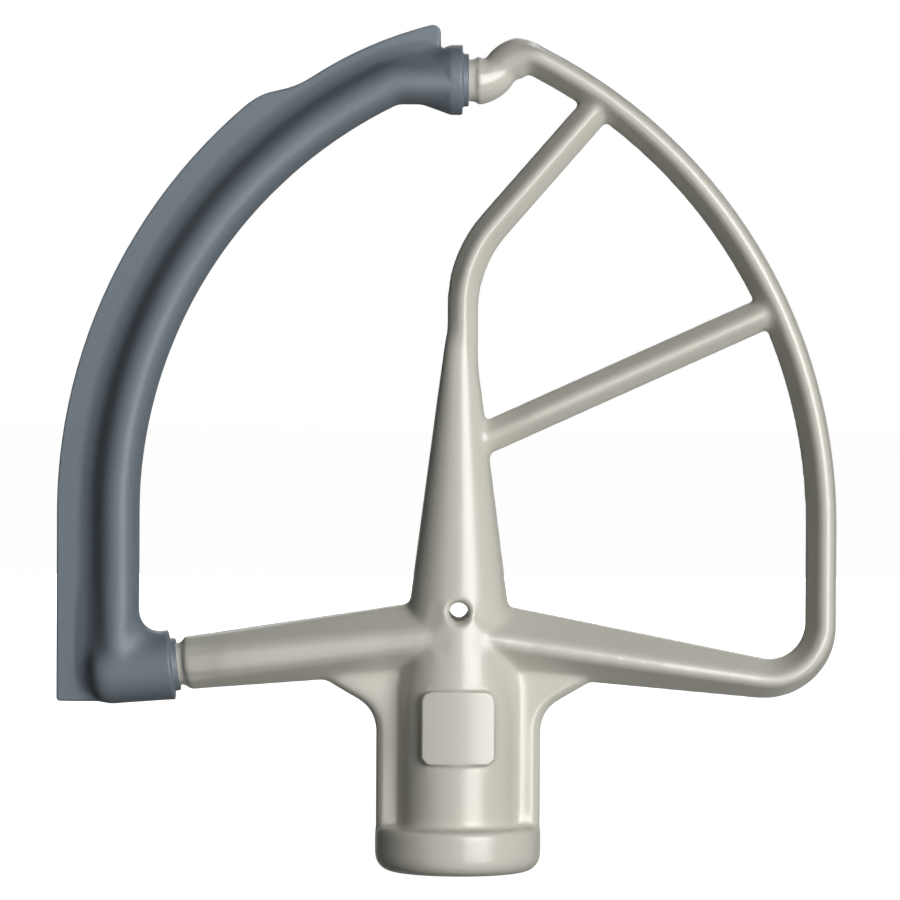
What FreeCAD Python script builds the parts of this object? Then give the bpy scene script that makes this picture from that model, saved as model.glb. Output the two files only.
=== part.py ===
import FreeCAD, Part
import math
import os
from FreeCAD import Vector

# Stand mixer flat beater: a cast frame, and the flexible scraping edge moulded round its left side.
# Millimetres. X runs across the beater, Y through its thickness and Z along the drive axis.
# The origin is on the drive axis, in the mouth face of the hub.

# Narrow flats that make up each rounded edge of a cast or moulded section
ROUNDING_FLATS = 3

# Hub: a collar round the mouth, then a cylinder that tapers into the stem
COLLAR_D = 37.0
COLLAR_H = 10.0
COLLAR_LIP_R = 3.8
COLLAR_TOP_CHAMFER = 0.8
HUB_D = 26.8
TAPER_Z = 41.3
TAPER_DEG = 7.4
STEM_TOP_D = 6.4

# Drive bore with the bayonet slot that the drive pin turns into
BORE_D = 13.0
BORE_DEPTH = 46.0
SLOT_W = 5.6
SLOT_REACH = 11.4
LOCK_Z = 17.0
LOCK_H = 6.0
LOCK_TURN_DEG = 45.0

# Side webs of the hub, with gussets under the arms
WEB_SPAN = 36.6
WEB_T = 5.0
WEB_EDGE_CHAMFER = 1.6
GUSSET_Z = 36.0
GUSSET_SLOPE_DEG = 30.0
GUSSET_R = 8.0

# Square pad on the front of the hub
PAD_SIZE = 16.3
PAD_Z = 32.7
PAD_PROUD = 0.6
PAD_CORNER_R = 2.2

# Hole through the stem
CROSS_HOLE_D = 4.2
CROSS_HOLE_Z = 58.4
CROSS_HOLE_CHAMFER = 0.8

# Arms: ridged bars that leave the stem at one height and thin out towards their ends.
# The faces beside the ridge lean back from the front by ARM_FACE_DEG all along.
ARM_Z = 53.2
ARM_FACE_DEG = 56.0
RIGHT_ARM_DROP_DEG = 8.2
RIGHT_ARM_ROOT_W = 16.4
RIGHT_ARM_ROOT_R = 2.4
RIGHT_ARM_END_W = 9.1
RIGHT_ARM_RIDGE_R = 2.0
RIGHT_ARM_EDGE_R = 1.4
LEFT_ARM_DROP_DEG = 6.56
LEFT_ARM_ROOT_W = 16.6
LEFT_ARM_ROOT_R = 3.0
LEFT_ARM_END_W = 11.9
LEFT_ARM_END_R = 4.6

# Right side: a corner, an upright, a bow that starts at BOW_Z, and an S-bend down to the upper neck
CORNER_R = 12.0
UPRIGHT_X = 80.9
BOW_Z = 77.3
BOW_W = 7.0
BOW_D = 10.4
BOW_RIDGE_OUT = 0.9
BOW_RIDGE_R = 2.0
BOW_EDGE_R = 1.1
S_START_X = 3.9
S_LOWER_INNER_R = 0.4
S_UPPER_R = 6.4
S_FALL_DEG = 36.8
S_TOP_W = 9.4
S_TOP_DEG = 100.0
S_W = 8.3
S_EDGE_R = 3.2
SHOULDER_W = 11.2
SHOULDER_R = 4.2
SHOULDER_CHAMFER = 0.8

# Struts between the stem and the bow
STRUT_W = 7.3
STRUT_D = 7.4
STRUT_RIDGE_R = 1.8
STRUT_EDGE_R = 1.2
BENT_STRUT_X = 0.6
BEND_R = 28.0
BEND_CORNER_Z = 136.5
BEND_TURN_DEG = 41.0
BRACE_Z = 94.2
BRACE_RISE_DEG = 24.4

# Necks and the core inside the flexible edge
NECK_Z = 176.7
NECK_D = 9.4
NECK_SHOWN = 2.2
NECK_SUNK = 5.0
CORE_W = 6.4
CORE_D = 6.4
ELBOW_R = 6.0
TOP_BEND_X = -12.9
TOP_BEND_R = 10.0

# Flexible edge: a tube with a tapered fin on its outer side
EDGE_X = -76.9
EDGE_BOW_Z = 79.8
TUBE_D = 11.0
TUBE_FLATS = 16
FIN_REACH = 13.0
FIN_TIP_T = 1.3
FIN_DRAFT_DEG = 4.0
FIN_BOTTOM_Z = 37.6
FIN_STEP = 3.7
FIN_STEP_FROM_DEG = 131.0
FIN_STEP_TO_DEG = 123.0
FIN_TOP_R = 89.2
FIN_CORNER_R = 1.8
FIN_FOOT_R = 0.8
FIN_END_X = -4.6
BOSS_D = 15.6
BOSS_L = 18.4
BOSS_TIP_D = 14.4
BOSS_END_R = 4.0
BOSS_FILLET_R = 3.4
BOSS_FILLET_T = 6.6
FLARE_L = 6.5
COLLAR_END_L = 2.6
RING_D = 11.8
RING_L = 1.4


def pt(x, z, y=0.0):
    return Vector(x, y, z)


def heading(deg):
    return Vector(math.cos(math.radians(deg)), 0, math.sin(math.radians(deg)))


def angle_of(v):
    return math.degrees(math.atan2(v.z, v.x))


def line(p, q):
    return Part.LineSegment(p, q).toShape()


def arc(centre, radius, start, end):
    p, m, q = [centre + heading(a) * radius for a in (start, (start + end) / 2, end)]
    return Part.Arc(p, m, q).toShape()


def rounded(centre, radius, start, end):
    # Corner points of a rounding made of narrow flats.
    step = (end - start) / ROUNDING_FLATS
    return [centre + heading(start + step * i) * radius for i in range(ROUNDING_FLATS + 1)]


def slab(wire, thickness):
    return Part.Face(wire).extrude(Vector(0, thickness, 0)).translated(Vector(0, -thickness / 2, 0))


def union(first, *others):
    return first.multiFuse(list(others))


def outline(points):
    return Part.makePolygon(points + points[:1])


def hull_wire(at, deg, circles):
    # Outline round a ring of circles (across, through, radius), square to the given heading.
    # Each rounding is a run of narrow flats.
    side = heading(deg - 90)
    count = len(circles)
    normals = []
    for i in range(count):
        u0, v0, r0 = circles[i - 1]
        u1, v1, r1 = circles[i]
        gap = math.hypot(u1 - u0, v1 - v0)
        normals.append(math.atan2(v1 - v0, u1 - u0) - math.acos((r0 - r1) / gap))
    points = []
    for i in range(count):
        u, v, r = circles[i]
        turn = (normals[(i + 1) % count] - normals[i]) % (2 * math.pi)
        for k in range(ROUNDING_FLATS + 1):
            a = normals[i] + turn * k / ROUNDING_FLATS
            points.append(at + side * (u + r * math.cos(a)) + Vector(0, v + r * math.sin(a), 0))
    return outline(points)


def kite(at, deg, width, depth, ridge_out, ridge_r, edge_r):
    # Ridged section: a ridge to the front and back, and a rounded edge to either side.
    return hull_wire(at, deg, [
        (width / 2 - edge_r, 0, edge_r),
        (ridge_out, depth / 2 - ridge_r, ridge_r),
        (edge_r - width / 2, 0, edge_r),
        (ridge_out, ridge_r - depth / 2, ridge_r)])


def bow_kite(at, deg):
    return kite(at, deg, BOW_W, BOW_D, BOW_RIDGE_OUT, BOW_RIDGE_R, BOW_EDGE_R)


def strut_kite(at, deg):
    return kite(at, deg, STRUT_W, STRUT_D, 0, STRUT_RIDGE_R, STRUT_EDGE_R)


def arm_kite(at, deg, width, ridge_r, edge_r):
    # Section of an arm, as deep as its width and its leaning faces make it.
    lean = math.radians(ARM_FACE_DEG)
    ridge_at = ((width / 2 - edge_r) * math.sin(lean) + edge_r - ridge_r) / math.cos(lean)
    return kite(at, deg, width, 2 * (ridge_at + ridge_r), 0, ridge_r, edge_r)


def round_kite(at, deg, width, edge_r):
    return kite(at, deg, width, width, 0, edge_r, edge_r)


def sweep(wire, *path, end=None):
    # A section carried along a path, and changed evenly into the end section where one is given.
    pipe = Part.BRepOffsetAPI.MakePipeShell(Part.Wire(list(path)))
    pipe.setBiNormalMode(Vector(0, 1, 0))
    for section in [wire] + ([end] if end else []):
        pipe.add(section, False, False)
    pipe.build()
    pipe.makeSolid()
    return pipe.shape()


def frustum(start, end):
    # Flat-sided solid between two outlines whose sides are parallel one by one.
    p = [v.Point for v in start.OrderedVertexes]
    q = [v.Point for v in end.OrderedVertexes]
    sides = [Part.Face(outline([p[i - 1], p[i], q[i], q[i - 1]])) for i in range(len(p))]
    return Part.Solid(Part.Shell(sides + [Part.Face(start), Part.Face(end)]))


def middle_of(edge):
    return edge.valueAt((edge.FirstParameter + edge.LastParameter) / 2)


def edges_at(solid, points):
    return [e for e in solid.Edges for p in points if middle_of(e).distanceToPoint(p) < 1e-4]


def reach_of(start, direction, centre, radius):
    # How far a line runs from a point inside a circle until it meets the circle.
    off = start - centre
    along = off.dot(direction)
    return -along + math.sqrt(along * along - off.dot(off) + radius * radius)


def bow_radius(across, rise, end_r):
    # Radius of a bow that runs on from an upright and turns smoothly into a smaller end bend.
    return (across ** 2 + rise ** 2 - end_r ** 2) / (2 * (across - end_r))


# Hub and stem
up = Vector(0, 0, 1)
hub_r = HUB_D / 2
collar_r = COLLAR_D / 2
lip_centre = pt(collar_r - COLLAR_LIP_R, COLLAR_LIP_R)
lip = rounded(lip_centre, COLLAR_LIP_R, -90, 0)
taper = math.tan(math.radians(TAPER_DEG))
stem_top_r = STEM_TOP_D / 2
stem_top_z = TAPER_Z + (hub_r - stem_top_r) / taper
stem_side = [pt(0, 0)] + lip + [
    pt(collar_r, COLLAR_H - COLLAR_TOP_CHAMFER),
    pt(collar_r - COLLAR_TOP_CHAMFER, COLLAR_H),
    pt(hub_r, COLLAR_H),
    pt(hub_r, TAPER_Z),
    pt(stem_top_r, stem_top_z),
    pt(0, stem_top_z)]
stem = Part.Face(outline(stem_side)).revolve(Vector(0, 0, 0), up, 360)

# Right arm, corner and upright
arm_root = pt(0, ARM_Z)
right_run = heading(-RIGHT_ARM_DROP_DEG)
right_up = heading(90 - RIGHT_ARM_DROP_DEG)
right_length = (UPRIGHT_X - CORNER_R - CORNER_R * right_up.x) / right_run.x
right_tip = arm_root + right_run * right_length
arm_end = arm_kite(right_tip, -RIGHT_ARM_DROP_DEG, RIGHT_ARM_END_W, RIGHT_ARM_RIDGE_R, RIGHT_ARM_EDGE_R)
right_root = arm_kite(arm_root, -RIGHT_ARM_DROP_DEG, RIGHT_ARM_ROOT_W, RIGHT_ARM_ROOT_R, RIGHT_ARM_ROOT_R)
right_arm = frustum(right_root, arm_end)
corner_centre = right_tip + right_up * CORNER_R
upright_foot = pt(UPRIGHT_X, corner_centre.z)
upright_top = pt(UPRIGHT_X, BOW_Z)
corner_path = arc(corner_centre, CORNER_R, -90 - RIGHT_ARM_DROP_DEG, 0)
corner = sweep(arm_end, corner_path, end=bow_kite(upright_foot, 90))

# Bow and S-bend: the upper S arc touches the bow from inside and the lower S arc from outside
s_lower_r = SHOULDER_W / 2 + S_LOWER_INNER_R
s_lower = pt(S_START_X, NECK_Z + s_lower_r)
s_upper = s_lower + heading(-S_FALL_DEG) * (s_lower_r + S_UPPER_R)
bow_r = bow_radius(UPRIGHT_X - s_upper.x, s_upper.z - BOW_Z, S_UPPER_R)
bow_centre = pt(UPRIGHT_X - bow_r, BOW_Z)
bow_end = angle_of(s_upper - bow_centre)

# Struts
bend_tangent = BEND_R * math.tan(math.radians(BEND_TURN_DEG / 2))
bend_from = pt(BENT_STRUT_X, BEND_CORNER_Z - bend_tangent)
bend_centre = bend_from + Vector(BEND_R, 0, 0)
bend_to = bend_centre + heading(180 - BEND_TURN_DEG) * BEND_R
bent_run = heading(90 - BEND_TURN_DEG)
bent_tip = bend_to + bent_run * reach_of(bend_to, bent_run, bow_centre, bow_r)
bent_foot = pt(BENT_STRUT_X, BRACE_Z)
bent_lower = sweep(strut_kite(bent_foot, 90), line(bent_foot, bend_from))
bent_bend = sweep(strut_kite(bend_from, 90), arc(bend_centre, BEND_R, 180, 180 - BEND_TURN_DEG))
bent_upper = sweep(strut_kite(bend_to, 90 - BEND_TURN_DEG), line(bend_to, bent_tip))
brace_root = pt(0, BRACE_Z)
brace_run = heading(BRACE_RISE_DEG)
brace_length = reach_of(brace_root, brace_run, bow_centre, bow_r)
brace_tip = brace_root + brace_run * brace_length
brace = Part.Face(strut_kite(brace_root, BRACE_RISE_DEG)).extrude(brace_run * brace_length)

# Bow, swell and S-bend
s_start = bow_centre + heading(bow_end) * bow_r
s_middle = s_lower + heading(-S_FALL_DEG) * s_lower_r
s_end = pt(S_START_X, NECK_Z)
bow = sweep(bow_kite(upright_foot, 90), line(upright_foot, upright_top), arc(bow_centre, bow_r, 0, bow_end))
s_section = round_kite(s_middle, -S_FALL_DEG - 90, S_W, S_EDGE_R)
top_section = round_kite(s_upper + heading(S_TOP_DEG) * S_UPPER_R, S_TOP_DEG + 90, S_TOP_W, S_EDGE_R)
swell_path = arc(s_upper, S_UPPER_R, bow_end, S_TOP_DEG)
swell = sweep(bow_kite(s_start, bow_end + 90), swell_path, end=top_section)
upper_path = arc(s_upper, S_UPPER_R, S_TOP_DEG, 180 - S_FALL_DEG)
upper_s = sweep(top_section, upper_path, end=s_section)
lower_path = arc(s_lower, s_lower_r, -S_FALL_DEG, -90)
shoulder_section = round_kite(s_end, 180, SHOULDER_W, SHOULDER_R)
lower_s = sweep(s_section, lower_path, end=shoulder_section)
step_w = SHOULDER_W - 2 * SHOULDER_CHAMFER
step_section = round_kite(s_end - Vector(SHOULDER_CHAMFER, 0, 0), 180, step_w, SHOULDER_R - SHOULDER_CHAMFER)
upper_shoulder = frustum(shoulder_section, step_section)

# Left arm, as long as the boss of the flexible edge leaves room for
tube_r = TUBE_D / 2
left_deg = 180 + LEFT_ARM_DROP_DEG
left_run = heading(left_deg)
elbow_at = -EDGE_X / abs(left_run.x)
left_length = elbow_at + tube_r - BOSS_L - RING_L - NECK_SHOWN
left_tip = arm_root + left_run * left_length
left_end = arm_kite(left_tip, left_deg, LEFT_ARM_END_W, LEFT_ARM_END_R, LEFT_ARM_END_R)
left_root = arm_kite(arm_root, left_deg, LEFT_ARM_ROOT_W, LEFT_ARM_ROOT_R, LEFT_ARM_ROOT_R)
left_arm = frustum(left_root, left_end)
small_w = LEFT_ARM_END_W - 2 * SHOULDER_CHAMFER
small_r = LEFT_ARM_END_R - SHOULDER_CHAMFER
small_end = arm_kite(left_tip + left_run * SHOULDER_CHAMFER, left_deg, small_w, small_r, small_r)
lower_shoulder = frustum(left_end, small_end)

# Webs: one plate across the hub, with gussets up to the arms
web_x = WEB_SPAN / 2
slope = heading(180 - GUSSET_SLOPE_DEG)
web_corner = pt(web_x, GUSSET_Z)
web_tangent = GUSSET_R * math.tan(math.radians(90 - GUSSET_SLOPE_DEG) / 2)
web_bend = web_corner + Vector(0, 0, -web_tangent)
web_bend_centre = web_bend + Vector(GUSSET_R, 0, 0)
gusset_deg = 90 + GUSSET_SLOPE_DEG
web_run = web_bend_centre + heading(gusset_deg) * GUSSET_R
gusset_run = heading(GUSSET_SLOPE_DEG)
drop = math.radians(RIGHT_ARM_DROP_DEG)
gusset_l = (ARM_Z - web_run.z - web_run.x * math.tan(drop)) / (gusset_run.z + gusset_run.x * math.tan(drop))
gusset_tip = web_run + gusset_run * gusset_l
web_foot = pt(web_x, COLLAR_H / 2)


def mirrored(p):
    return Vector(-p.x, p.y, p.z)


web = slab(Part.Wire([
    line(mirrored(web_foot), web_foot),
    line(web_foot, web_bend),
    arc(web_bend_centre, GUSSET_R, 180, gusset_deg),
    line(web_run, gusset_tip),
    line(gusset_tip, mirrored(gusset_tip)),
    line(mirrored(gusset_tip), mirrored(web_run)),
    arc(mirrored(web_bend_centre), GUSSET_R, 180 - gusset_deg, 0),
    line(mirrored(web_bend), mirrored(web_foot))]), WEB_T)
web_sides = [
    (web_foot + web_bend) * 0.5,
    web_bend_centre + heading((180 + gusset_deg) / 2) * GUSSET_R,
    (web_run + gusset_tip) * 0.5]
web_sides += [mirrored(p) for p in web_sides]
to_face = Vector(0, WEB_T / 2, 0)
web_edges = edges_at(web, [p + to_face for p in web_sides] + [p - to_face for p in web_sides])
web = web.makeChamfer(WEB_EDGE_CHAMFER, web_edges)

# Pad
pad_half = PAD_SIZE / 2
pad_in = pad_half - PAD_CORNER_R
pad_at = pt(0, PAD_Z)
pad_edges = []
for i in range(4):
    corner_at = pad_at + heading(45 + 90 * i) * (pad_in * math.sqrt(2))
    next_at = pad_at + heading(135 + 90 * i) * (pad_in * math.sqrt(2))
    out = heading(90 + 90 * i) * PAD_CORNER_R
    pad_edges.append(arc(corner_at, PAD_CORNER_R, 90 * i, 90 * i + 90))
    pad_edges.append(line(corner_at + out, next_at + out))
pad_front = Vector(0, -hub_r - PAD_PROUD, 0)
pad = Part.Face(Part.Wire(pad_edges)).translated(pad_front).extrude(Vector(0, hub_r / 2, 0))

# Left core: elbow, upright, bow and a bend to the upper neck
top_centre = pt(TOP_BEND_X, NECK_Z - TOP_BEND_R)
edge_r = bow_radius(TOP_BEND_X - EDGE_X, top_centre.z - EDGE_BOW_Z, TOP_BEND_R)
edge_centre = pt(EDGE_X + edge_r, EDGE_BOW_Z)
left_up = heading(left_deg - 90)
elbow_tangent = ELBOW_R * math.tan(math.radians((90 + LEFT_ARM_DROP_DEG) / 2))
elbow_from = arm_root + left_run * (elbow_at - elbow_tangent)
elbow_centre = elbow_from + left_up * ELBOW_R
elbow_to = pt(EDGE_X, elbow_centre.z)
top_deg = angle_of(top_centre - edge_centre)
top_to = pt(TOP_BEND_X, NECK_Z)
core_side = left_up * (CORE_W / 2)
core_through = Vector(0, CORE_D / 2, 0)
core_corners = [left_tip + core_side + core_through, left_tip - core_side + core_through,
                left_tip - core_side - core_through, left_tip + core_side - core_through]
edge_top = pt(EDGE_X, EDGE_BOW_Z)
core_bow = [arc(edge_centre, edge_r, 180, top_deg), arc(top_centre, TOP_BEND_R, top_deg, 90)]
core = sweep(outline(core_corners),
             line(left_tip, elbow_from),
             arc(elbow_centre, ELBOW_R, 270 + LEFT_ARM_DROP_DEG, 180),
             line(elbow_to, edge_top), *core_bow, line(top_to, s_end))
neck_l = NECK_SHOWN + RING_L + NECK_SUNK
lower_neck = Part.makeCylinder(NECK_D / 2, neck_l, left_tip, left_run)
upper_neck = Part.makeCylinder(NECK_D / 2, neck_l, s_end, Vector(-1, 0, 0))

# Bore, bayonet slot and cross hole
bore_r = BORE_D / 2
bore = Part.makeCylinder(bore_r, BORE_DEPTH)
slot_h = LOCK_Z + LOCK_H
slot = Part.makeBox(SLOT_REACH, SLOT_W, slot_h, Vector(0, -SLOT_W / 2, 0))
slot = slot.common(Part.makeCylinder(SLOT_REACH, slot_h))
lock = Part.makeCylinder(SLOT_REACH, LOCK_H, pt(0, LOCK_Z), up, LOCK_TURN_DEG)
lock = lock.rotated(Vector(0, 0, 0), up, -LOCK_TURN_DEG)
stem_r = hub_r - (CROSS_HOLE_Z - TAPER_Z) * taper
hole_r = CROSS_HOLE_D / 2
rim = CROSS_HOLE_CHAMFER
cross_hole = Part.makeCylinder(hole_r, 2 * hub_r, pt(0, CROSS_HOLE_Z, -hub_r), Vector(0, 1, 0))
rims = []
for side in (-1, 1):
    rim_at = pt(0, CROSS_HOLE_Z, side * (stem_r - rim))
    rims.append(Part.makeCone(hole_r, hole_r + 2 * rim, 2 * rim, rim_at, Vector(0, side, 0)))

beater_frame = union(
    stem, web, pad, right_arm, corner, bow, swell, upper_s, lower_s, upper_shoulder, left_arm, lower_shoulder,
    bent_lower, bent_bend, bent_upper, brace, core, lower_neck, upper_neck)
beater_frame = beater_frame.cut([bore, slot, lock, cross_hole] + rims)

# Flexible edge: the tube follows the core, and the fin stands on its outer side
boss_r = BOSS_D / 2
fin_r = edge_r + FIN_REACH
fin_end = math.degrees(math.acos((FIN_END_X + FIN_REACH - edge_centre.x) / fin_r))
elbow_vertex = arm_root + left_run * elbow_at
tube = sweep(outline([elbow_vertex + Vector(tube_r * math.cos(a), tube_r * math.sin(a), 0)
                      for a in [2 * math.pi * i / TUBE_FLATS for i in range(TUBE_FLATS)]]),
             line(elbow_vertex, edge_top), *core_bow)
fin_foot = pt(EDGE_X, FIN_BOTTOM_Z)
tip_half = Vector(0, FIN_TIP_T / 2, 0)
root_half = Vector(0, FIN_TIP_T / 2 + FIN_REACH * math.tan(math.radians(FIN_DRAFT_DEG)), 0)
fin_out = Vector(-FIN_REACH, 0, 0)
fin = sweep(outline([fin_foot + root_half, fin_foot + fin_out + tip_half, fin_foot + fin_out - tip_half,
                     fin_foot - root_half]),
            line(fin_foot, edge_top), arc(edge_centre, edge_r, 180, fin_end))

ring_r = RING_D / 2
mouth_x = S_START_X - NECK_SHOWN
collar_x = mouth_x - RING_L
flare_x = collar_x - COLLAR_END_L
flare = Part.Face(outline([
    top_to,
    pt(TOP_BEND_X, NECK_Z + tube_r),
    pt(flare_x - FLARE_L, NECK_Z + tube_r),
    pt(flare_x, NECK_Z + boss_r),
    pt(collar_x, NECK_Z + boss_r),
    pt(collar_x, NECK_Z + ring_r),
    pt(mouth_x, NECK_Z + ring_r),
    pt(mouth_x, NECK_Z)])).revolve(top_to, Vector(1, 0, 0), 360)


def on_arm(along, out):
    return arm_root + left_run * along + left_up * out


boss_end = elbow_at + tube_r
mouth_l = left_length + NECK_SHOWN
collar_l = mouth_l + RING_L
boss_round = on_arm(boss_end - BOSS_END_R, BOSS_TIP_D / 2 - BOSS_END_R)
boss_side = [
    on_arm(mouth_l, 0),
    on_arm(mouth_l, ring_r),
    on_arm(collar_l, ring_r),
    on_arm(collar_l, boss_r)]
boss_side += rounded(boss_round, BOSS_END_R, left_deg - 90, left_deg)
boss = Part.Face(outline(boss_side + [on_arm(boss_end, 0)])).revolve(arm_root, left_run, 360)

step_a = edge_centre + heading(FIN_STEP_FROM_DEG) * fin_r
step_b = edge_centre + heading(FIN_STEP_TO_DEG) * (fin_r - FIN_STEP)
step_l = (step_b - step_a).Length / 2
step = Part.BezierCurve()
step.setPoles([step_a, step_a + heading(FIN_STEP_FROM_DEG - 90) * step_l,
               step_b - heading(FIN_STEP_TO_DEG - 90) * step_l, step_b])
fin_top_centre = step_b - heading(FIN_STEP_TO_DEG) * FIN_TOP_R
fin_top_end = math.degrees(math.acos((FIN_END_X - fin_top_centre.x) / FIN_TOP_R))
fin_corner = fin_top_centre + heading(fin_top_end) * FIN_TOP_R
clear_x = FIN_END_X + 2 * FIN_REACH
clear_z = edge_centre.z + fin_r + FIN_STEP
fin_end_foot = pt(FIN_END_X, edge_centre.z)
clear_foot = pt(clear_x, edge_centre.z)
clear_corner = pt(clear_x, clear_z)
trim = slab(Part.Wire([
    step.toShape(),
    arc(fin_top_centre, FIN_TOP_R, FIN_STEP_TO_DEG, fin_top_end),
    line(fin_corner, fin_end_foot),
    line(fin_end_foot, clear_foot),
    line(clear_foot, clear_corner),
    line(clear_corner, pt(step_a.x, clear_z)),
    line(pt(step_a.x, clear_z), step_a)]), TUBE_D)

# Moulded fillet in the corner between the tube and the boss
fillet_x = EDGE_X + tube_r
boss_lean = math.radians(LEFT_ARM_DROP_DEG)


def over_arm(x, off):
    # A point at the given distance square above the left arm's axis.
    return pt(x, ARM_Z + x * math.tan(boss_lean) + off / math.cos(boss_lean))


fillet_centre = over_arm(fillet_x + BOSS_FILLET_R, boss_r + BOSS_FILLET_R)
fillet_foot = fillet_centre + heading(LEFT_ARM_DROP_DEG - 90) * BOSS_FILLET_R
fillet_head = pt(fillet_x, fillet_centre.z)
inside = pt(EDGE_X, over_arm(EDGE_X, 0).z)
fillet = slab(Part.Wire([
    arc(fillet_centre, BOSS_FILLET_R, 180, 270 + LEFT_ARM_DROP_DEG),
    line(fillet_foot, inside),
    line(inside, fillet_head)]), BOSS_FILLET_T)

fin = fin.cut(trim)
fin = fin.makeFillet(FIN_CORNER_R, edges_at(fin, [fin_corner]))
fin = fin.makeFillet(FIN_FOOT_R, edges_at(fin, [fin_foot + fin_out]))
flex_edge = union(tube, fin, flare, boss, fillet).cut([core, lower_neck, upper_neck])

os.makedirs("parts", exist_ok=True)
beater_frame.exportStep("parts/beater_frame.step")
flex_edge.exportStep("parts/flex_edge.step")
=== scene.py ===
import bmesh
import bpy
import math
import numpy as np
from mathutils import Matrix, Quaternion, Vector, kdtree


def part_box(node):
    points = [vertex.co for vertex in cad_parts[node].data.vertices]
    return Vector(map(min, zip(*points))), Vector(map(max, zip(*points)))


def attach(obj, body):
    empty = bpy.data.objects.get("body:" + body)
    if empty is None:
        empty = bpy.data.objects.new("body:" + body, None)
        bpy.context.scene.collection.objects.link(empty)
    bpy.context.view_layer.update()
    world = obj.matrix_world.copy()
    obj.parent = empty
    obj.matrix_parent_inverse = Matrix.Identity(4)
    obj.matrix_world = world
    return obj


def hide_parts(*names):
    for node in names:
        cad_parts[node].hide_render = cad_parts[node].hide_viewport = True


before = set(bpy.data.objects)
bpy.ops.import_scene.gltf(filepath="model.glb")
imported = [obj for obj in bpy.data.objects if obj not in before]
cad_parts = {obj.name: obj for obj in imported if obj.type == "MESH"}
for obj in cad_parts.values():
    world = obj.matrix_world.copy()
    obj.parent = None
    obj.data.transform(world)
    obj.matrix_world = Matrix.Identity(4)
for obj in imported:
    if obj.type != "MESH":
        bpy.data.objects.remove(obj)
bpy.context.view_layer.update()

# The photograph's frame: square, so many pixels on a side and so many metres to a pixel at the drive axis
FRAME_PX = 900
METRES_PER_PX = 0.00022344
AXIS_PX = 459.5
FLOOR_PX = 871.3
VIEW_AZIMUTH = 0.0
VIEW_ELEVATION = 1.6
VIEW_ROLL = 0.275
LENS = 240.0
SENSOR = 36.0
CLIP_START = 0.05

# Skins: the solids with the soft blends of a casting and a moulding, on voxels of these sizes in metres
CASTING_VOXEL = 0.0004
SLEEVE_VOXEL = 0.0003
FILLET_VOXEL = 0.0007
MOST_TRIANGLES = 196000
MM = 1000

# Share of the way to the middle of its neighbours that a point goes in one step
STEP_IN = 0.5
STEP_OUT = 0.52
FILL_STEP = 0.9

# Steps of a fill between two looks at which way the surface faces
STEPS_PER_LOOK = 6

# A coarse skin counts as a fillet where it rises by this share of its voxel, and is sunk elsewhere
FILLET_RISE = 0.3
FILLET_SINK = 2.5 * SLEEVE_VOXEL

# All sizes and places of the part below are in millimetres.
# A stretch is given as where it starts, where it ends and how far it fades out beyond both ends.
# A slope is given as where it is 0 and where it reaches 1.

# Arms and bars, deeper than in the solids by a share that grows along these slopes
BAR_DEEPER = 0.22
ARMS_FROM_HUB = (16, 46)
ARMS_FROM_NECK = (-60, -52)
ARMS_TOP_Z = 62
BARS_FROM_STEM = (9, 16)
BARS_FROM_ARM_Z = (62, 74)
BARS_FROM_ARM_X = (62, 72)
BENT_STRUT_FROM_STEM = (120, 134)
BENT_STRUT_FROM_LEFT = (-12, -6)
S_BEND_WIDTH = (-20, 8, 8)
S_BEND_FOOT_Z = 160

# Forms of the casting that the rounding leaves alone, with the share of it that they are spared
BORE_RADIUS = (0, 10, 2)
BORE_HEIGHT = (-1, 47, 1)
PAD_WIDTH = (-9.5, 9.5, 1.5)
PAD_HEIGHT = (23.5, 42, 1.5)
PAD_BACK_Y = -11
PAD_SPARED = 0.92
PAD_UNFILLED = 0.8
TOP_NECK_WIDTH = (-12, 7, 2.5)
TOP_NECK_HEIGHT = (164, 188, 1)
LOW_NECK_WIDTH = (-81, -61.5, 1.2)
LOW_NECK_HEIGHT = (36, 56, 1)
NECKS_SPARED = 0.9
AXIS_HOLE = (0, 58.4)
HOLE_REACH = 5.5
HOLE_SPARED = 0.8

# Forms of the casting that are rounder than the rest
LEFT_ARM_WIDTH = (-55, -18, 3)
LEFT_ARM_HEIGHT = (36, 60, 2)
COLLAR_HEIGHT = (-1, 9, 1.5)
STEM_TOP = (0.6, 119.8)
STEM_TOP_REACH = 13

# Inner corners of the casting: centre (x, z), reach, and share of a full fillet
LEAST_FILLET = 0.12
JOINS = {
    "right arm and stem": ((12, 50), 26, 0.4),
    "left arm and stem": ((-12, 50), 26, 0.4),
    "hub and webs": ((0, 30), 34, 0.5),
    "straight strut and stem": ((7, 97), 12, 1.0),
    "straight strut and bar": ((70.6, 126.4), 12, 1.0),
    "bent strut and bar": ((31.8, 172.4), 12, 1.0),
    "bent strut and stem": ((0.6, 112), 16, 1.0),
    "right web and collar": ((18.3, 9.6), 6, 1.0),
    "left web and collar": ((-18.3, 9.6), 6, 1.0),
}

# The pad's crown and the cross hole's soft rim
CROWN_R = 32.0
CROWN_WIDTH = (-9, 9, 0.5)
CROWN_HEIGHT = (23.7, 41.7, 0.5)
CROWN_FRONT = (13.4, 20, 2)
HOLE_R = 2.0
HOLE_RIM = 1.7
HOLE_DIP = 1.0
HOLE_MOUTH_Y = (4, 9)

# Line of the sleeve's tube: a straight foot, a bow and a bend into the upper neck
EDGE_X = -76.9
EDGE_FOOT_Z = 45.0
EDGE_BOW_Z = 79.8
EDGE_BOW_R = 106.9
TOP_BEND_X = -12.9
TOP_BEND_R = 10.0
NECK_Z = 176.7

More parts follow.
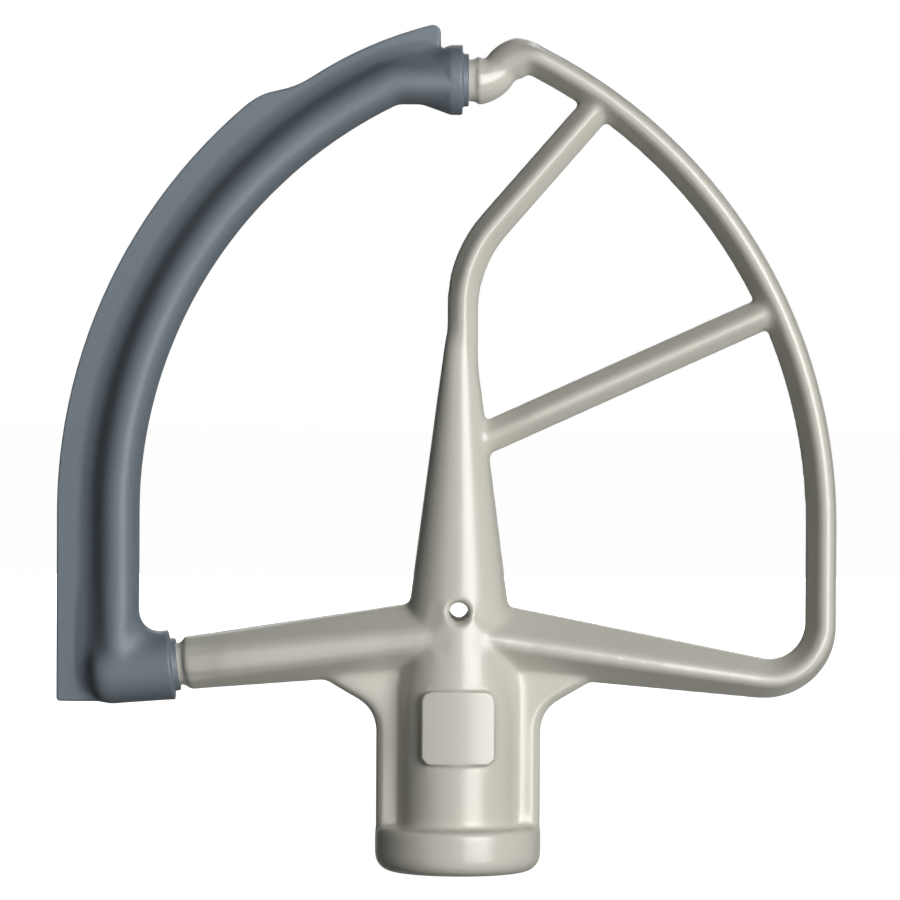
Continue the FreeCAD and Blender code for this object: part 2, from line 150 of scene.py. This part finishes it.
# Section of the tube: half width, half depth, fullness of its round, and place of its ridge
TUBE_R = 5.5
TUBE_DEEP = 7.0
TUBE_FULL = 2.1
TUBE_INNER_R = 4.4
RIDGE_IN = 0.9
RIDGE_TO_FIN = 5.5
DEEPER_AT_FLARE = 0.1
FLARE_SLOPE = (-30, -10)
TOP_END_SLOPE = (0, -1)

# Corners of the sleeve, and its mouths, which stay as they are
FIN_ROOT = (-20, 7, 3)
TOP_MOUTH_WIDTH = (-3.5, 10, 1.5)
LOW_MOUTH_WIDTH = (-66, -50, 1.5)
LOW_MOUTH_HEIGHT = (30, 56, 1)
FIN_FILLET = 0.35
ELBOW = (-70.5, 52.5)
ELBOW_FILLET_REACH = 17
ELBOW_ROUND_REACH = 15
FLARE = (-8.4, 176.7)
FLARE_FILLET_REACH = 9

# Middle of a noise's range, colours at both ends of the slight clouding, and the darkest grain
NOISE_LOW = 0.3
NOISE_HIGH = 0.7
CASTING_TONES = ((0.603, 0.588, 0.518), (0.613, 0.598, 0.528))
CASTING_GRAIN = 0.98
SLEEVE_TONES = ((0.145, 0.176, 0.203), (0.152, 0.184, 0.211))
SLEEVE_GRAIN = 0.94

# Studio, in metres, degrees and light on a surface that faces the lamp
LIT_HEIGHT = 0.095
LAMP_AWAY = 1.3
LAMP_WIDTH = 0.8
LAMP_HEIGHT = 0.9
KEY_AZIMUTH = 31.0
KEY_WIDTH = 0.85
ABOVE_AWAY = 2.0
ABOVE_ANGLE = 30.0
ABOVE_ENERGY = 0.6
AMBIENT = 0.008
FLOOR_HALF = 4.0
FLOOR_GREY = 0.3
FLOOR_GLOW = 0.95
PANEL_AZIMUTH = 28.0
PANEL_Z = 0.1
PANEL_HALF_WIDTH = 0.4
PANEL_HALF_HEIGHT = 0.7
PANEL_GLOW = 7.8
PLAIN_ROUGHNESS = 0.9
CARD_BLACK = 0.02
CARD_SIDE = 0.5
CARD_FRONT = -0.5
RIGHT_CARD_FRONT = -0.35
CARD_REAR = 1.2
BACK_CARD_Y = 1.6
CARD_TALL = 1.0


class Skin:
    # A fine even mesh of one solid, whose points can be moved together.
    def __init__(self, mesh, name, voxel):
        self.obj = bpy.data.objects.new(name, mesh)
        bpy.context.collection.objects.link(self.obj)
        remesh = self.obj.modifiers.new("Even", "REMESH")
        remesh.mode = "VOXEL"
        remesh.voxel_size = voxel
        self.settle()
        mesh = self.obj.data
        self.count = len(mesh.vertices)
        ends = np.empty(len(mesh.edges) * 2, np.int32)
        mesh.edges.foreach_get("vertices", ends)
        self.a, self.b = ends[::2], ends[1::2]
        self.degree = np.bincount(ends, minlength=self.count)[:, None]
        loops = np.empty(len(mesh.loops), np.int32)
        mesh.loops.foreach_get("vertex_index", loops)
        self.quads = loops.reshape(-1, 4)
        flat = np.empty(self.count * 3, np.float32)
        mesh.vertices.foreach_get("co", flat)
        self.co = flat.reshape(-1, 3).astype(float)

    def settle(self):
        # Take over the mesh that the modifiers make.
        shaped = self.obj.evaluated_get(bpy.context.evaluated_depsgraph_get())
        made = bpy.data.meshes.new_from_object(shaped)
        self.obj.modifiers.clear()
        self.obj.data = made

    def place(self, scale=1):
        # Put the moved points into the mesh.
        self.obj.data.vertices.foreach_set("co", (self.co * scale).astype(np.float32).ravel())
        self.obj.data.update()

    def in_mm(self):
        # x, y and z of all points in millimetres.
        return (self.co * MM).T

    def lean(self, values):
        # From each point's value to the middle of its neighbours' values.
        total = np.empty_like(values)
        for k in range(3):
            total[:, k] = np.bincount(self.a, values[self.b, k], self.count)
            total[:, k] += np.bincount(self.b, values[self.a, k], self.count)
        return total / self.degree - values

    def normals(self):
        p, q = self.co, self.quads
        face = np.cross(p[q[:, 2]] - p[q[:, 0]], p[q[:, 3]] - p[q[:, 1]])
        total = np.zeros_like(p)
        for corner in range(4):
            for k in range(3):
                total[:, k] += np.bincount(q[:, corner], face[:, k], self.count)
        return total / np.linalg.norm(total, axis=1)[:, None]

    def even(self, rounds):
        # Take the voxels' steps out: each inward step is followed by a slightly longer outward one.
        for step in range(rounds):
            self.co += self.lean(self.co) * STEP_IN
            self.co -= self.lean(self.co) * STEP_OUT

    def soften(self, rounds, share):
        # Round off flats and edges, and give back what that takes from the thickness.
        before = self.co.copy()
        part = STEP_IN * share[:, None]
        for step in range(rounds):
            self.co += self.lean(self.co) * part
        lost = before - self.co
        for step in range(rounds):
            lost += self.lean(lost) * part
        self.co += lost

    def fill(self, rounds, share):
        # Fill inner corners only, which leaves fillets there.
        for step in range(rounds):
            if step % STEPS_PER_LOOK == 0:
                out = self.normals()
            rise = np.maximum((self.lean(self.co) * out).sum(1), 0) * share
            self.co += out * (FILL_STEP * rise)[:, None]

    def finish(self, coat, node, slot):
        # Thin the mesh out, worked in millimetres, and shade it with the normals of the fine one.
        low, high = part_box(node)
        self.co = np.clip(self.co, np.array(low), np.array(high))
        self.place(MM)
        thin = self.obj.modifiers.new("Fewer", "DECIMATE")
        thin.ratio = min(1, MOST_TRIANGLES / (2 * len(self.quads)))
        self.settle()
        mesh = self.obj.data
        keep_largest(mesh)
        mesh.transform(Matrix.Scale(1 / MM, 4))
        mesh.shade_smooth()
        fine = kdtree.KDTree(self.count)
        for i, point in enumerate(self.co):
            fine.insert(point, i)
        fine.balance()
        out = self.normals()
        mesh.normals_split_custom_set_from_vertices([out[fine.find(v.co)[1]] for v in mesh.vertices])
        mesh.materials.clear()
        mesh.materials.append(coat)
        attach(self.obj, "root")
        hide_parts(node)


def keep_largest(mesh):
    # Delete the specks of a face or two that the voxels leave in tight corners.
    work = bmesh.new()
    work.from_mesh(mesh)
    unseen = set(work.verts)
    bodies = []
    while unseen:
        ahead = [unseen.pop()]
        body = []
        while ahead:
            point = ahead.pop()
            body.append(point)
            beside = {edge.other_vert(point) for edge in point.link_edges} & unseen
            unseen -= beside
            ahead.extend(beside)
        bodies.append(body)
    bodies.sort(key=len)
    specks = [point for body in bodies[:-1] for point in body]
    bmesh.ops.delete(work, geom=specks, context="VERTS")
    work.to_mesh(mesh)
    work.free()


def solid(node):
    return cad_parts[node].data.copy()


def with_fillets(node, voxel, rounds, share_of, deepen):
    # The solid together with large fillets for its inner corners, which come from a coarser skin.
    # Away from the corners that skin is sunk below the solid's surface.
    coarse = Skin(solid(node), node + "_fillets", voxel)
    coarse.even(rounds=3)
    deepen(coarse)
    before, out = coarse.co.copy(), coarse.normals()
    x, _, z = coarse.in_mm()
    coarse.fill(rounds, share_of(x, z))
    rise = ((coarse.co - before) * out).sum(1)
    sink = FILLET_SINK * (1 - np.clip(rise / (FILLET_RISE * voxel), 0, 1))
    coarse.co -= out * sink[:, None]
    coarse.place()
    both = bmesh.new()
    both.from_mesh(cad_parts[node].data)
    both.from_mesh(coarse.obj.data)
    mesh = bpy.data.meshes.new(node + "_blended")
    both.to_mesh(mesh)
    both.free()
    bpy.data.objects.remove(coarse.obj)
    return mesh


def near(x, z, centre, reach):
    # 1 at the centre, falling smoothly to 0 at the reach.
    gap = np.hypot(x - centre[0], z - centre[1]) / reach
    return np.clip(1 - gap ** 2, 0, 1)


def inside(values, low, high, fade):
    # 1 on a stretch, falling to 0 over the fade beyond it.
    return np.clip(1 + np.minimum(values - low, high - values) / fade, 0, 1)


def slope(values, nought, one):
    # 0 up to the first place, 1 from the second.
    return np.clip((values - nought) / (one - nought), 0, 1)


# Materials
def material(name):
    made = bpy.data.materials.new(name)
    made.use_nodes = True
    return made, made.node_tree.nodes, made.node_tree.links


def noise(nodes, links, where, size, detail):
    # Noise with grains of the given size in metres.
    tex = nodes.new("ShaderNodeTexNoise")
    tex.inputs["Scale"].default_value = 1 / size
    tex.inputs["Detail"].default_value = detail
    links.new(where, tex.inputs["Vector"])
    return tex.outputs["Fac"]


def spread(nodes, links, value, low, high):
    # The middle of a noise's range carried to low and high.
    node = nodes.new("ShaderNodeMapRange")
    node.inputs["From Min"].default_value = NOISE_LOW
    node.inputs["From Max"].default_value = NOISE_HIGH
    node.inputs["To Min"].default_value = low
    node.inputs["To Max"].default_value = high
    links.new(value, node.inputs["Value"])
    return node.outputs["Result"]


def blend(nodes, links, kind, factor, first, second):
    node = nodes.new("ShaderNodeMix")
    node.data_type = "RGBA"
    node.blend_type = kind
    # The node's colour sockets share their names with its other sockets, so they are taken by number.
    for socket, value in ((node.inputs[0], factor), (node.inputs[6], first), (node.inputs[7], second)):
        if hasattr(value, "links"):
            links.new(value, socket)
        elif isinstance(value, tuple):
            socket.default_value = (*value, 1)
        else:
            socket.default_value = value
    return node.outputs[2]


def tinted(nodes, links, tones, cloud, darkest, fleck):
    # A colour that clouds between two tones, times a fine grain.
    tone = blend(nodes, links, "MIX", spread(nodes, links, cloud, 0, 1), *tones)
    grain = blend(nodes, links, "MIX", spread(nodes, links, fleck, 0, 1), (darkest,) * 3, (1, 1, 1))
    return blend(nodes, links, "MULTIPLY", 1.0, tone, grain)


def bump(nodes, links, height, depth, strength):
    node = nodes.new("ShaderNodeBump")
    node.inputs["Strength"].default_value = strength
    node.inputs["Distance"].default_value = depth
    links.new(height, node.inputs["Height"])
    return node.outputs["Normal"]


def casting_finish():
    # Satin coat with a faint orange peel
    made, nodes, links = material("satin_casting")
    shader = nodes["Principled BSDF"]
    where = nodes.new("ShaderNodeTexCoord").outputs["Object"]
    cloud = noise(nodes, links, where, size=0.022, detail=3)
    peel = noise(nodes, links, where, size=0.0025, detail=2)
    flake = noise(nodes, links, where, size=0.0006, detail=1)
    colour = tinted(nodes, links, CASTING_TONES, cloud, CASTING_GRAIN, flake)
    links.new(colour, shader.inputs["Base Color"])
    links.new(spread(nodes, links, cloud, low=0.275, high=0.29), shader.inputs["Roughness"])
    links.new(bump(nodes, links, peel, depth=0.00005, strength=0.06), shader.inputs["Normal"])
    return made


def sleeve_finish():
    # Matte moulded silicone
    made, nodes, links = material("matte_silicone")
    shader = nodes["Principled BSDF"]
    where = nodes.new("ShaderNodeTexCoord").outputs["Object"]
    cloud = noise(nodes, links, where, size=0.03, detail=3)
    speck = noise(nodes, links, where, size=0.001, detail=2)
    colour = tinted(nodes, links, SLEEVE_TONES, cloud, SLEEVE_GRAIN, speck)
    links.new(colour, shader.inputs["Base Color"])
    links.new(spread(nodes, links, cloud, low=0.5, high=0.56), shader.inputs["Roughness"])
    shader.inputs["Specular IOR Level"].default_value = 0.5
    links.new(bump(nodes, links, speck, depth=0.00005, strength=0.07), shader.inputs["Normal"])
    return made


# Casting
def deeper_share(x, z):
    # Where the arms, the struts and the perimeter bar are deeper than in the solid.
    arms = slope(np.abs(x), *ARMS_FROM_HUB) * slope(x, *ARMS_FROM_NECK) * (z < ARMS_TOP_Z)
    bars = slope(x, *BARS_FROM_STEM) * np.maximum(slope(z, *BARS_FROM_ARM_Z), slope(x, *BARS_FROM_ARM_X))
    s_bend = inside(x, *S_BEND_WIDTH) * (z > S_BEND_FOOT_Z)
    bent_strut = slope(z, *BENT_STRUT_FROM_STEM) * slope(x, *BENT_STRUT_FROM_LEFT) * (1 - s_bend)
    return np.maximum.reduce([arms, bars, bent_strut])


def make_casting():
    skin = Skin(solid("beater_frame"), "casting_skin", CASTING_VOXEL)
    skin.even(rounds=8)
    x, _, z = skin.in_mm()
    skin.co[:, 1] *= 1 + BAR_DEEPER * deeper_share(x, z)

    x, y, z = skin.in_mm()
    bore = inside(np.hypot(x, y), *BORE_RADIUS) * inside(z, *BORE_HEIGHT)
    pad = inside(x, *PAD_WIDTH) * inside(z, *PAD_HEIGHT) * (y < PAD_BACK_Y)
    necks = np.maximum(inside(x, *TOP_NECK_WIDTH) * inside(z, *TOP_NECK_HEIGHT),
                       inside(x, *LOW_NECK_WIDTH) * inside(z, *LOW_NECK_HEIGHT))
    hole = near(x, z, AXIS_HOLE, HOLE_REACH) ** 0.5
    spared = np.maximum.reduce([bore, PAD_SPARED * pad, NECKS_SPARED * necks, HOLE_SPARED * hole])
    skin.soften(rounds=14, share=1 - spared)
    left_arm = inside(x, *LEFT_ARM_WIDTH) * inside(z, *LEFT_ARM_HEIGHT)
    rounder = np.maximum(left_arm, inside(z, *COLLAR_HEIGHT))
    skin.soften(rounds=34, share=rounder * (1 - spared))

    x, _, z = skin.in_mm()
    joins = np.full(skin.count, LEAST_FILLET)
    for centre, reach, share in JOINS.values():
        joins = np.maximum(joins, share * near(x, z, centre, reach) ** 0.5)
    skin.fill(rounds=50, share=joins * (1 - bore) * (1 - hole) * (1 - PAD_UNFILLED * pad))
    x, _, z = skin.in_mm()
    skin.soften(rounds=90, share=near(x, z, STEM_TOP, STEM_TOP_REACH) ** 0.5)
    skin.even(rounds=4)

    x, y, z = skin.in_mm()
    crown = inside(x, *CROWN_WIDTH) * inside(z, *CROWN_HEIGHT) * inside(-y, *CROWN_FRONT)
    from_hole = np.hypot(x - AXIS_HOLE[0], z - AXIS_HOLE[1]) - HOLE_R
    rim = np.clip(1 - from_hole / HOLE_RIM, 0, 1) ** 2 * slope(np.abs(y), *HOLE_MOUTH_Y)
    skin.co[:, 1] += (crown * x ** 2 / (2 * CROWN_R) - np.sign(y) * rim * HOLE_DIP) / MM
    skin.finish(casting_finish(), "beater_frame", "casting")


# Sleeve
def out_of_edge(x, z):
    # How far a point is outside the line of the tube, on the side of the fin.
    bow_x = EDGE_X + EDGE_BOW_R
    bend_z = NECK_Z - TOP_BEND_R
    bow = np.hypot(x - bow_x, np.maximum(z - EDGE_BOW_Z, 0)) - EDGE_BOW_R
    bend = np.hypot(np.minimum(x - TOP_BEND_X, 0), z - bend_z) - TOP_BEND_R
    rise = (bend_z - EDGE_BOW_Z) / (TOP_BEND_X - bow_x)
    past_bow = (z > bend_z) & (z - bend_z > rise * (x - TOP_BEND_X))
    return np.where(past_bow, bend, bow)


def along_fin(x, z):
    # The tube and the inner half of its fin, clear of both mouths.
    low_mouth = inside(x, *LOW_MOUTH_WIDTH) * inside(z, *LOW_MOUTH_HEIGHT)
    mouths = np.maximum(inside(x, *TOP_MOUTH_WIDTH), low_mouth)
    return inside(out_of_edge(x, z), *FIN_ROOT) * (1 - mouths)


def sleeve_corners(x, z):
    # The corner along the fin, and the wider ones in the elbow and under the flare.
    wide = np.maximum(near(x, z, ELBOW, ELBOW_FILLET_REACH), near(x, z, FLARE, FLARE_FILLET_REACH)) ** 0.5
    return along_fin(x, z) * (FIN_FILLET + (1 - FIN_FILLET) * wide)


def deepen_tube(skin):
    # Make the tube's outside deeper than it is wide, so that it runs on into the boss and the flare.
    x, y, z = skin.in_mm()
    out = out_of_edge(x, z)
    across = (out + RIDGE_IN) / np.where(out > -RIDGE_IN, RIDGE_TO_FIN, TUBE_R - RIDGE_IN)
    deep = TUBE_DEEP * np.clip(1 - np.abs(across) ** TUBE_FULL, 0, 1) ** (1 / TUBE_FULL)
    deep *= 1 + DEEPER_AT_FLARE * slope(x, *FLARE_SLOPE)
    deep *= (z > EDGE_FOOT_Z) * slope(x, *TOP_END_SLOPE)
    outside = (np.hypot(out, y) > TUBE_INNER_R) & (skin.normals()[:, 1] * y > 0)
    skin.co[:, 1] = np.where(outside, np.sign(y) * np.maximum(np.abs(y), deep), y) / MM


def make_sleeve():
    blended = with_fillets("flex_edge", FILLET_VOXEL, rounds=70, share_of=sleeve_corners, deepen=deepen_tube)
    skin = Skin(blended, "sleeve_skin", SLEEVE_VOXEL)
    skin.even(rounds=8)
    deepen_tube(skin)
    skin.even(rounds=4)
    x, _, z = skin.in_mm()
    fin = along_fin(x, z)
    skin.soften(rounds=40, share=fin)
    x, _, z = skin.in_mm()
    skin.soften(rounds=120, share=fin * near(x, z, ELBOW, ELBOW_ROUND_REACH) ** 0.5)
    skin.even(rounds=4)
    skin.finish(sleeve_finish(), "flex_edge", "silicone")


# Camera, square on to the beater
def spot(azimuth, elevation):
    a, e = math.radians(azimuth), math.radians(elevation)
    return Vector((math.sin(a) * math.cos(e), -math.cos(a) * math.cos(e), math.sin(e)))


def facing(obj, azimuth, elevation):
    # Look back along the given direction.
    obj.rotation_mode = "QUATERNION"
    obj.rotation_quaternion = (-spot(azimuth, elevation)).to_track_quat("-Z", "Y")


def make_camera():
    middle = FRAME_PX / 2
    aim = Vector(((middle - AXIS_PX) * METRES_PER_PX, 0, (FLOOR_PX - middle) * METRES_PER_PX))
    distance = FRAME_PX * METRES_PER_PX * LENS / SENSOR
    towards = spot(VIEW_AZIMUTH, VIEW_ELEVATION)
    camera = bpy.data.objects.new("camera", bpy.data.cameras.new("camera"))
    bpy.context.collection.objects.link(camera)
    camera.data.lens = LENS
    camera.data.sensor_width = SENSOR
    camera.data.clip_start = CLIP_START
    camera.location = aim + towards * distance
    facing(camera, VIEW_AZIMUTH, VIEW_ELEVATION)
    camera.rotation_quaternion.rotate(Quaternion(towards, math.radians(VIEW_ROLL)))
    bpy.context.scene.camera = camera


# Soft studio light
def lamp(name, kind, azimuth, elevation, away, glossy):
    light = bpy.data.lights.new(name, kind)
    obj = bpy.data.objects.new(name, light)
    bpy.context.collection.objects.link(obj)
    obj.location = Vector((0, 0, LIT_HEIGHT)) + spot(azimuth, elevation) * away
    facing(obj, azimuth, elevation)
    obj.visible_camera = False
    obj.visible_glossy = glossy
    return light


def softbox(name, azimuth, elevation, level, width=LAMP_WIDTH):
    # level is the light that falls on a surface that faces the softbox.
    light = lamp(name, "AREA", azimuth, elevation, LAMP_AWAY, glossy=False)
    light.shape = "RECTANGLE"
    light.size, light.size_y = width, LAMP_HEIGHT
    light.energy = level * math.pi * LAMP_AWAY ** 2


def make_lamps():
    softbox("key", azimuth=KEY_AZIMUTH, elevation=3.5, level=4.7, width=KEY_WIDTH)
    softbox("back", azimuth=180, elevation=12, level=2.4)
    softbox("side", azimuth=-125, elevation=10, level=0.12)
    above = lamp("above", "SUN", azimuth=180, elevation=32, away=ABOVE_AWAY, glossy=True)
    above.energy = ABOVE_ENERGY
    above.angle = math.radians(ABOVE_ANGLE)


def seen(nodes, links):
    # 1 for what the eye, a shiny surface or glass sees.
    path = nodes.new("ShaderNodeLightPath")
    total = path.outputs["Is Camera Ray"]
    for name in ("Is Glossy Ray", "Is Transmission Ray"):
        add = nodes.new("ShaderNodeMath")
        add.operation = "ADD"
        add.use_clamp = True
        links.new(total, add.inputs[0])
        links.new(path.outputs[name], add.inputs[1])
        total = add.outputs["Value"]
    return total


def make_world():
    # White to look at, with little light of its own
    world = bpy.data.worlds.new("studio")
    world.use_nodes = True
    bpy.context.scene.world = world
    nodes, links = world.node_tree.nodes, world.node_tree.links
    ambient = nodes["Background"]
    ambient.inputs["Color"].default_value = (1, 1, 1, 1)
    ambient.inputs["Strength"].default_value = AMBIENT
    white = nodes.new("ShaderNodeBackground")
    white.inputs["Color"].default_value = (1, 1, 1, 1)
    mix = nodes.new("ShaderNodeMixShader")
    links.new(seen(nodes, links), mix.inputs["Fac"])
    links.new(ambient.outputs["Background"], mix.inputs[1])
    links.new(white.outputs["Background"], mix.inputs[2])
    links.new(mix.outputs["Shader"], nodes["World Output"].inputs["Surface"])


# Floor, and what the beater mirrors
def sheet(name, outline, finish):
    mesh = bpy.data.meshes.new(name)
    mesh.from_pydata(outline, [], [(0, 1, 2, 3)])
    obj = bpy.data.objects.new(name, mesh)
    bpy.context.collection.objects.link(obj)
    mesh.materials.append(finish)
    return obj


def plain(name, grey, glow=0.0):
    # A material without gloss.
    made = material(name)[0]
    shader = made.node_tree.nodes["Principled BSDF"]
    shader.inputs["Base Color"].default_value = (grey, grey, grey, 1)
    shader.inputs["Roughness"].default_value = PLAIN_ROUGHNESS
    shader.inputs["Specular IOR Level"].default_value = 0.0
    shader.inputs["Emission Color"].default_value = (1, 1, 1, 1)
    shader.inputs["Emission Strength"].default_value = glow
    return made


def only_glossy(obj):
    # Seen in the gloss of the part, and nowhere else.
    obj.visible_camera = False
    obj.visible_diffuse = False
    obj.visible_transmission = False
    obj.visible_shadow = False


def make_floor():
    # Glows where it is seen and lights nothing, so that it is white and still keeps the shadow
    pale = plain("pale_floor", FLOOR_GREY)
    nodes, links = pale.node_tree.nodes, pale.node_tree.links
    glow = nodes.new("ShaderNodeMath")
    glow.operation = "MULTIPLY"
    glow.inputs[1].default_value = FLOOR_GLOW
    links.new(seen(nodes, links), glow.inputs[0])
    links.new(glow.outputs["Value"], nodes["Principled BSDF"].inputs["Emission Strength"])
    half = FLOOR_HALF
    floor = sheet("floor", [(-half, -half, 0), (half, -half, 0), (half, half, 0), (-half, half, 0)], pale)
    floor.visible_glossy = False


def make_panel():
    # Front of the key softbox as the satin coat mirrors it
    bright = plain("softbox_front", grey=0, glow=PANEL_GLOW)
    middle = spot(PANEL_AZIMUTH, 0) * LAMP_AWAY + Vector((0, 0, PANEL_Z))
    across = spot(PANEL_AZIMUTH + 90, 0) * PANEL_HALF_WIDTH
    up = Vector((0, 0, PANEL_HALF_HEIGHT))
    outline = [middle - across - up, middle + across - up, middle + across + up, middle - across + up]
    only_glossy(sheet("softbox_front", outline, bright))


def make_cards():
    # Black cards round the beater, which keep its flanks dark
    black = plain("black_card", CARD_BLACK)
    sides = (("left_card", -CARD_SIDE, CARD_FRONT), ("right_card", CARD_SIDE, RIGHT_CARD_FRONT))
    for name, x, front in sides:
        outline = [(x, front, -CARD_TALL), (x, CARD_REAR, -CARD_TALL), (x, CARD_REAR, CARD_TALL),
                   (x, front, CARD_TALL)]
        only_glossy(sheet(name, outline, black))
    y = BACK_CARD_Y
    outline = [(-CARD_SIDE, y, -CARD_TALL), (CARD_SIDE, y, -CARD_TALL), (CARD_SIDE, y, CARD_TALL),
               (-CARD_SIDE, y, CARD_TALL)]
    only_glossy(sheet("back_card", outline, black))
    for name, z in (("top_card", CARD_TALL), ("low_card", -CARD_TALL)):
        outline = [(-CARD_SIDE, CARD_FRONT, z), (CARD_SIDE, CARD_FRONT, z), (CARD_SIDE, CARD_REAR, z),
                   (-CARD_SIDE, CARD_REAR, z)]
        only_glossy(sheet(name, outline, black))


make_casting()
make_sleeve()
make_camera()
make_lamps()
make_world()
make_floor()
make_panel()
make_cards()
bpy.context.scene.view_settings.view_transform = "Standard"
